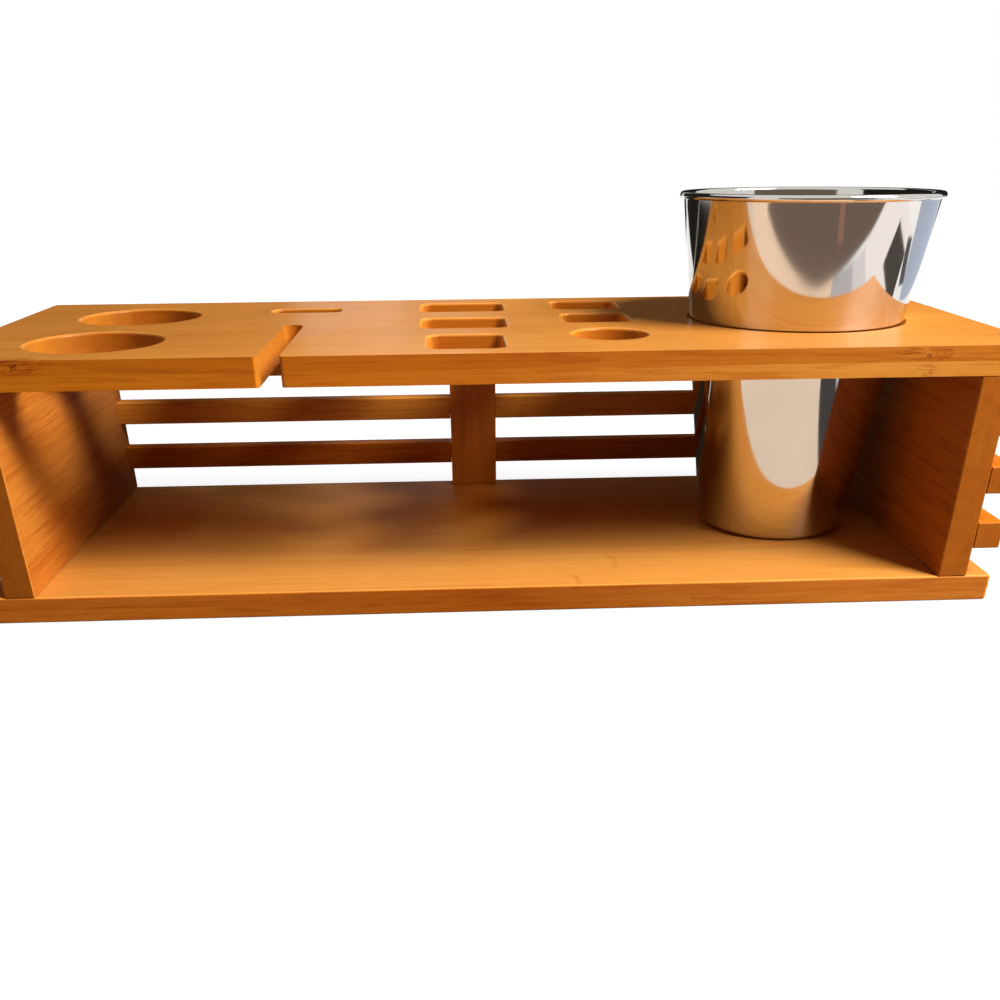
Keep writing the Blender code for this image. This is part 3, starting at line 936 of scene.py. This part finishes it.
def object_place(tree):
    return tree.nodes.new("ShaderNodeTexCoord").outputs["Object"]


def bump(tree, shader, height, distance, strength=1.0):
    node = tree.nodes.new("ShaderNodeBump")
    node.inputs["Strength"].default_value = strength
    node.inputs["Distance"].default_value = distance
    feed(tree, node.inputs["Height"], height)
    feed(tree, shader.inputs["Normal"], node.outputs["Normal"])


def face_masks(tree, axes, size, length_axis):
    """Masks of the flat faces, ends, long outer edges, long and end walls of cut-outs, and underside."""
    normal = split(tree, tree.nodes.new("ShaderNodeNewGeometry").outputs["Normal"])
    steepness = {letter: maths(tree, "ABSOLUTE", normal[letter]) for letter in "XYZ"}
    outside = {}
    for number, letter in enumerate("XYZ"):
        inwards = maths(tree, "SUBTRACT", size[number], axes[letter])
        inwards = maths(tree, "MINIMUM", axes[letter], inwards)
        at_skin = span(tree, inwards, *OUTER_SKIN, 1.0, 0.0)
        outside[letter] = product(tree, span(tree, steepness[letter], 0.6, 0.9), at_skin)
    outer = maths(tree, "MAXIMUM", outside["X"], outside["Y"])
    walls = {}
    for letter in "XY":
        facing = span(tree, steepness[letter], 0.3, 0.95)
        walls[letter] = maths(tree, "SUBTRACT", facing, outer, clamp=True)
    long_side, end_side = "YX" if length_axis == "X" else "XY"
    return {
        "flat": span(tree, steepness["Z"], 0.3, 0.8),
        "end": outside[length_axis],
        "edge": outside[long_side],
        "long wall": walls[long_side],
        "end wall": walls[end_side],
        "underside": span(tree, normal["Z"], -0.8, -0.3, 1.0, 0.0),
    }


def fibre_colour(tree, laid, grown, masks, looks):
    """The wood itself: fibres, streaks and a tone for each strip, with figure, and stained at its ends."""
    shade = product(tree, grown["Fibres"], span(tree, masks["end"], 0.0, 1.0, 0.5, 0.2))
    shade = maths(tree, "ADD", shade, product(tree, grown["Streaks"], 0.3))
    shade = maths(tree, "ADD", shade, product(tree, laid["Tone"], 0.25), clamp=True)
    colour = blend_colours(tree, shade, looks["dark"], looks["light"])
    figure = product(tree, grown["Figure"], span(tree, masks["edge"], 0.0, 1.0, looks["figure"], 0.8))
    colour = stain(tree, colour, figure, FIGURE_STAIN)
    return stain(tree, colour, masks["end"], looks["ends"])


def stain_board(tree, colour, along, layer, masks, looks):
    """The tones of a board, which differ from its left end to its right end and from face to face,
    with painted light and shade on its edges and painted shade in its cut-outs and on its underside.
    """
    # Edge tones: partly the darker side grain, partly painted light and shade from left to right
    colour = stain(tree, colour, masks["edge"], tone_ramp(tree, along, looks["edge_tones_light_and_shade"]))
    # Painted shade on the walls of the cut-outs
    colour = stain(tree, colour, masks["long wall"], LONG_WALL_SHADE)
    colour = stain(tree, colour, masks["end wall"], END_WALL_SHADE)
    # Painted shade on the undersides
    colour = stain(tree, colour, masks["underside"], UNDERSIDE_SHADE)
    upper = product(tree, maths(tree, "GREATER_THAN", layer, 1.0), masks["edge"])
    upper = product(tree, upper, span(tree, along, *UPPER_PLY_GROWS, 0.5, 1.0, softly=True))
    colour = stain(tree, colour, upper, looks["upper_ply"])
    return stain(tree, colour, fade(tree, along, *LEFT_END_FADES), looks["left_tone"])


def mark_wood(tree, colour, place, laid, grown, masks, scars):
    """Adds what grew in the wood. Gives the colour, and a mask of the dark lines, which are also sunk."""
    colour = stain(tree, colour, product(tree, laid["Node Halo"], 0.22), HALO_STAIN)
    lines = maths(tree, "MAXIMUM", laid["Node Ring"], product(tree, laid["Seam"], 0.6))
    lines = maths(tree, "MAXIMUM", lines, product(tree, grown["Dashes"], 0.5))
    lines = product(tree, lines, span(tree, masks["end"], 0.0, 1.0, 0.6, 0.12))
    for centre, reach, strength in scars:
        found = place_group(tree, scar, Vector=place, Centre=centre, Reach=reach)
        colour = stain(tree, colour, product(tree, found["Streaks"], strength), SCAR_STREAK_STAIN)
        colour = stain(tree, colour, found["Rim"], SCAR_RIM_STAIN)
        colour = stain(tree, colour, found["Heart"], SCAR_HEART_STAIN)
        lines = maths(tree, "MAXIMUM", lines, product(tree, found["Crack"], strength))
    return stain(tree, colour, lines, LINE_STAIN), lines


def varnish(tree, shader, grown, worn, handled, masks, sheen):
    """A thin, smudged varnish, smoother where it is worn; a sheen adds a coat to the flat faces."""
    roughness = span(tree, handled["Smudges"], 0.0, 1.0, *VARNISH_ROUGHNESS)
    roughness = maths(tree, "ADD", roughness, product(tree, grown["Fibres"], 0.08))
    roughness = maths(tree, "SUBTRACT", roughness, product(tree, worn["Wear"], 0.06))
    feed(tree, shader.inputs["Roughness"], roughness)
    shader.inputs["Specular IOR Level"].default_value = VARNISH_SPECULAR
    if sheen:
        gloss = span(tree, handled["Smudges"], 0.0, 1.0, sheen, sheen * 0.7)
        feed(tree, shader.inputs["Coat Weight"], product(tree, masks["flat"], gloss))
        shader.inputs["Coat Roughness"].default_value = COAT_ROUGHNESS


def bamboo(name, grain, box, strip_width, ply_thickness, looks):
    """Varnished bamboo for what is in a box; grain names the axes of its length, its strips and its plies."""
    size = box[1] - box[0]
    material, tree, shader = new_material(name)
    own_place = object_place(tree)
    place = vector_maths(tree, "SUBTRACT", own_place, box[0])
    axes = dict(zip("XYZ", split(tree, place)))
    turned = joined(tree, *(axes[letter] for letter in grain))
    laid = place_group(
        tree,
        strips,
        Vector=turned,
        Strip_Width=strip_width,
        Ply_Thickness=ply_thickness,
        Node_Spacing=STALK_NODE_SPACING,
        Seed=looks["seed"],
    )
    shift = joined(tree, laid["Shift"], laid["Shift"], laid["Shift"])
    grown = place_group(tree, fibres, Vector=vector_maths(tree, "ADD", turned, shift))
    worn = place_group(tree, edge_wear, Vector=place)
    handled = place_group(tree, handling, Vector=place)
    masks = face_masks(tree, axes, size, grain[0])

    colour = fibre_colour(tree, laid, grown, masks, looks)
    along = maths(tree, "DIVIDE", axes["X"], size.x)
    if "edge_tones_light_and_shade" in looks:
        layer = maths(tree, "DIVIDE", axes["Z"], ply_thickness)
        colour = stain_board(tree, colour, along, layer, masks, looks)
    # Painted shade, and on some pieces a painted sheen, over the back half of the piece
    if "back_shade_and_sheen" in looks:
        starts, full = (share * size.y for share in BACK_SHADE_BEGINS)
        painted_back = span(tree, axes["Y"], starts, full, softly=True)
        colour = stain(tree, colour, painted_back, tone_ramp(tree, along, looks["back_shade_and_sheen"]))
    colour, lines = mark_wood(tree, colour, own_place, laid, grown, masks, looks.get("scars", ()))
    # Paler wear on the eased edges, partly real wear and partly a painted highlight
    colour = stain(tree, colour, product(tree, worn["Wear"], 0.6), WEAR_AND_HIGHLIGHT_STAIN)
    feed(tree, shader.inputs["Base Color"], colour)
    varnish(tree, shader, grown, worn, handled, masks, looks.get("sheen"))

    height = product(tree, grown["Fibres"], 0.5)
    height = maths(tree, "SUBTRACT", height, product(tree, grown["Dashes"], 0.5))
    height = maths(tree, "SUBTRACT", height, product(tree, lines, 0.6))
    bump(tree, shader, height, BAMBOO_RELIEF, 0.8)
    return material


def dowel_beech():
    """Raw turned beech with short flecks, hidden in its holes."""
    material, tree, shader = new_material("raw beech")
    place = object_place(tree)
    grown = place_group(tree, fibres, Vector=place, Coarseness=1.6)
    handled = place_group(tree, handling, Vector=place)
    colour = blend_colours(tree, grown["Streaks"], BEECH_DARK, BEECH_LIGHT)
    colour = blend_colours(tree, product(tree, grown["Dashes"], 0.6), colour, BEECH_FLECKS)
    feed(tree, shader.inputs["Base Color"], colour)
    feed(tree, shader.inputs["Roughness"], span(tree, handled["Smudges"], 0.0, 1.0, *BEECH_ROUGHNESS))
    bump(tree, shader, grown["Fibres"], BEECH_RELIEF)
    return material


def polished_steel():
    """Mirror-polished steel with faint turning lines, smudges and a few specks."""
    material, tree, shader = new_material("polished steel")
    place = object_place(tree)
    handled = place_group(tree, handling, Vector=place, Size=1.4)
    lines = drawn_out_noise(tree, place, (4.0, 4.0, 2600.0))
    waves = noise(tree, place, 26.0, 1.0)
    shade = product(tree, handled["Smudges"], 0.5)
    colour = blend_colours(tree, shade, STEEL_CLEAN, STEEL_SMUDGED)
    colour = blend_colours(tree, product(tree, handled["Specks"], 0.3), colour, STEEL_SPECKS)
    feed(tree, shader.inputs["Base Color"], colour)
    shader.inputs["Metallic"].default_value = 1.0
    roughness = span(tree, handled["Smudges"], 0.0, 1.0, *STEEL_ROUGHNESS)
    roughness = maths(tree, "ADD", roughness, product(tree, lines, 0.02))
    feed(tree, shader.inputs["Roughness"], roughness)
    bump(tree, shader, maths(tree, "ADD", product(tree, lines, 0.002), waves), STEEL_RELIEF)
    return material


def make_boards():
    for node, make, looks in (
        ("base_board", base_board, BASE_BOARD_LOOKS),
        ("top_board", top_board, TOP_BOARD_LOOKS),
    ):
        item = make()
        low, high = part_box(node)
        ply = (high.z - low.z) / 2
        finish = bamboo(node + " bamboo", "XYZ", (low, high), BOARD_STRIP_WIDTH, ply, looks)
        finish_wood(item, finish, node, walls_are_round=True)


def light_and_dark(seed, light):
    """Looks of a plain piece from its seed and its light colour."""
    dark = tuple(part * DARK_SHARE for part in light)
    return {"seed": seed, "light": light, "dark": dark, "ends": END_STAIN, "figure": 0.15}


def make_panels_and_post():
    for node, grain, looks in (
        ("left_side_panel", "YZX", LEFT_PANEL_LOOKS),
        ("right_side_panel", "YZX", RIGHT_PANEL_LOOKS),
        ("centre_post", "ZXY", light_and_dark(*POST_SEED_AND_LIGHT)),
    ):
        item = standing_piece(node)
        low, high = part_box(node)
        ply = (high - low)["XYZ".index(grain[2])] / 2
        finish = bamboo(node + " bamboo", grain, (low, high), PANEL_STRIP_WIDTH, ply, looks)
        finish_wood(item, finish, node)


def make_slats():
    """Three rows of slats at the back and at both sides; a row at the back shares one pattern."""
    box = (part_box("left_side_slat_lower")[0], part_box("right_side_slat_upper")[1])
    side_finish = bamboo("side slat bamboo", "YZX", box, SLAT_STRIP_WIDTH, SIDE_SLAT_PLY, SIDE_SLAT_LOOKS)
    for row, seed_and_light in BACK_SLAT_SEEDS_AND_LIGHTS.items():
        looks = light_and_dark(*seed_and_light)
        name = row + " back slat bamboo"
        box = (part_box("back_slat_left_" + row)[0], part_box("back_slat_right_" + row)[1])
        back_finish = bamboo(name, "XZY", box, SLAT_STRIP_WIDTH, BACK_SLAT_PLY, looks)
        for side in ("left", "right"):
            back_node = "back_slat_" + side + "_" + row
            finish_wood(back_slat(back_node), back_finish, back_node)
            side_node = side + "_side_slat_" + row
            finish_wood(side_slat(side_node), side_finish, side_node)


def make_tin():
    item = shaker_tin()
    use(item)
    bpy.ops.object.shade_smooth_by_angle(angle=SMOOTH_UP_TO)
    dress(item, polished_steel(), "tin", "shaker_tin")


def finish_dowels():
    beech = dowel_beech()
    for node, item in frame["nodes"].items():
        if "_dowel_" in node:
            item.data.materials.clear()
            item.data.materials.append(beech)


def make_camera():
    data = bpy.data.cameras.new("camera")
    camera = bpy.data.objects.new("camera", data)
    bpy.context.scene.collection.objects.link(camera)
    data.sensor_width = CAMERA_SENSOR
    data.lens = CAMERA_LENS
    data.shift_x, data.shift_y = CAMERA_SHIFT
    data.clip_start = 0.01
    turn = Matrix.Rotation(-CAMERA_YAW, 4, "Z") @ Matrix.Rotation(math.pi / 2 - CAMERA_PITCH, 4, "X")
    camera.matrix_world = Matrix.Translation(CAMERA_PLACE) @ turn @ Matrix.Rotation(CAMERA_ROLL, 4, "Z")
    bpy.context.scene.camera = camera


def seen_or_mirrored(tree):
    """1 for what the camera sees straight, in a mirror or through glass, and 0 for plain light."""
    path = tree.nodes.new("ShaderNodeLightPath").outputs
    mirrored = maths(tree, "MAXIMUM", path["Is Glossy Ray"], path["Is Transmission Ray"])
    return maths(tree, "MAXIMUM", path["Is Camera Ray"], mirrored)


def make_world():
    """White to the eye, with only a little light of its own."""
    world = bpy.data.worlds.new("studio")
    bpy.context.scene.world = world
    world.use_nodes = True
    tree = world.node_tree
    shader = tree.nodes["Background"]
    shader.inputs["Color"].default_value = (1.0, 1.0, 1.0, 1.0)
    feed(tree, shader.inputs["Strength"], span(tree, seen_or_mirrored(tree), 0.0, 1.0, WORLD_LIGHT, 1.0))


def make_floor():
    bpy.ops.object.select_all(action="DESELECT")
    bpy.ops.mesh.primitive_plane_add(size=FLOOR_SIZE, location=(0.0, 0.0, FLOOR_LEVEL))
    floor = named("floor")
    material, tree, shader = new_material("pale floor")
    shader.inputs["Base Color"].default_value = (FLOOR_GREY, FLOOR_GREY, FLOOR_GREY, 1.0)
    shader.inputs["Roughness"].default_value = 0.9
    shader.inputs["Specular IOR Level"].default_value = 0.0
    shader.inputs["Emission Color"].default_value = (1.0, 1.0, 1.0, 1.0)
    away = vector_maths(tree, "LENGTH", object_place(tree))
    glow = span(tree, away, *FLOOR_GLOW_REACH, FLOOR_NEAR_GLOW, 1.0, softly=True)
    feed(tree, shader.inputs["Emission Strength"], product(tree, seen_or_mirrored(tree), glow))
    floor.data.materials.append(material)


def mirror_card(name, centre, size, colour, lean_angle, turn_angle):
    """A plain card that only shows in what is glossy, as a photographer's flag does."""
    bpy.ops.object.select_all(action="DESELECT")
    rotation = (math.radians(lean_angle), 0.0, math.radians(turn_angle))
    bpy.ops.mesh.primitive_plane_add(size=1.0, location=centre, rotation=rotation)
    bpy.context.object.scale = (*size, 1.0)
    card = named(name)
    material, tree, shader = new_material(name)
    shader.inputs["Base Color"].default_value = (0.0, 0.0, 0.0, 1.0)
    shader.inputs["Specular IOR Level"].default_value = 0.0
    shader.inputs["Emission Color"].default_value = (*colour, 1.0)
    shader.inputs["Emission Strength"].default_value = 1.0
    card.data.materials.append(material)
    card.visible_camera = False
    card.visible_diffuse = False
    card.visible_shadow = False
    card.visible_transmission = False


def soft_lamp(name, place, size, power):
    data = bpy.data.lights.new(name, "AREA")
    data.shape = "RECTANGLE"
    data.size, data.size_y = size
    data.energy = power
    lamp = bpy.data.objects.new(name, data)
    bpy.context.scene.collection.objects.link(lamp)
    lamp.location = place
    lamp.rotation_euler = (Vector(LAMP_TARGET) - Vector(place)).to_track_quat("-Z", "Y").to_euler()
    lamp.visible_glossy = name == "key"


bpy.context.scene.view_settings.view_transform = "Standard"
make_boards()
make_panels_and_post()
make_slats()
make_tin()
finish_dowels()
make_camera()
make_world()
make_floor()
for card_name, card_looks in CARDS.items():
    mirror_card(card_name, *card_looks)
for lamp_name, lamp_looks in LAMPS.items():
    soft_lamp(lamp_name, *lamp_looks)
